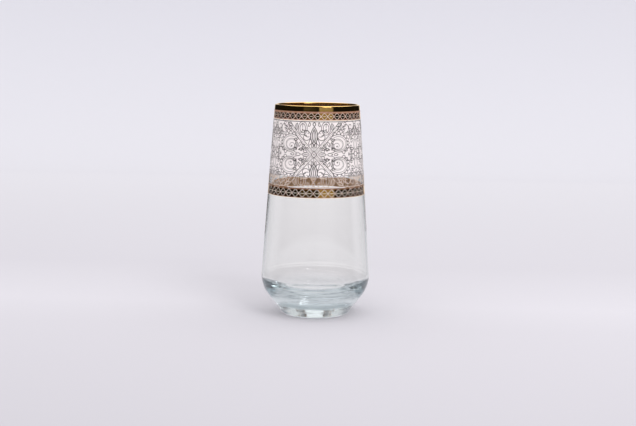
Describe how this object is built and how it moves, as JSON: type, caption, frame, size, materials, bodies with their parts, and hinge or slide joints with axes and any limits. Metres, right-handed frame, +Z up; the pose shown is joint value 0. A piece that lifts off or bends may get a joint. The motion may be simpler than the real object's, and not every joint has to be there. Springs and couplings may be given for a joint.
{
  "type": "drinking glass",
  "caption": "Tall clear long-drink glass with a heavy tapered base, a gilded rim, gold lattice borders and a frosted scroll frieze round its upper wall.",
  "frame": {"origin": "centre of the foot, on the surface that the glass stands on", "axes": "+Z up along the axis of the glass; -Y is the side that the picture shows"},
  "size_m": [0.0786, 0.0786, 0.152],
  "materials": {
    "clear_glass": "clear soda-lime glass, fire-polished",
    "bright_gold": "bright fired-on gold, mirror-like",
    "lattice_gold": "satin etched gold with bright figures",
    "frosted_scroll": "frosted scrollwork on the glass"
  },
  "bodies": {
    "root": {"glass_body": "clear_glass", "rim_gold_band": "bright_gold", "upper_border_band": "lattice_gold", "scroll_frieze": "frosted_scroll", "lower_border_band": "lattice_gold"}
  },
  "joints": []
}
